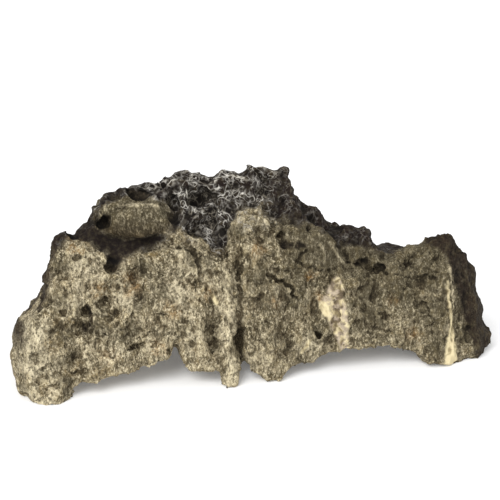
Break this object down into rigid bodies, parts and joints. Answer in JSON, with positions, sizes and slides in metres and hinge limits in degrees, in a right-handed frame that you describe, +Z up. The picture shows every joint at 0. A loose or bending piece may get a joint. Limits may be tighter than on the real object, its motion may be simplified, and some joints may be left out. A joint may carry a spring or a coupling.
{
  "type": "scholars rock",
  "caption": "Free-standing scholars' rock shaped like a mountain range: leaning fluted front wall, pitted ridge top, hollowed base on broad feet.",
  "frame": {"origin": "on the surface the stone stands on, under the middle of its bounding box", "axes": "+X along the stone from its tall end to its low end, +Y from its front wall to its back, +Z up"},
  "size_m": [0.3139, 0.1123, 0.1288],
  "materials": {
    "stone": "rough granular olive-brown stone, darker and pitted on top"
  },
  "bodies": {
    "root": {"stone": "stone"}
  },
  "joints": []
}
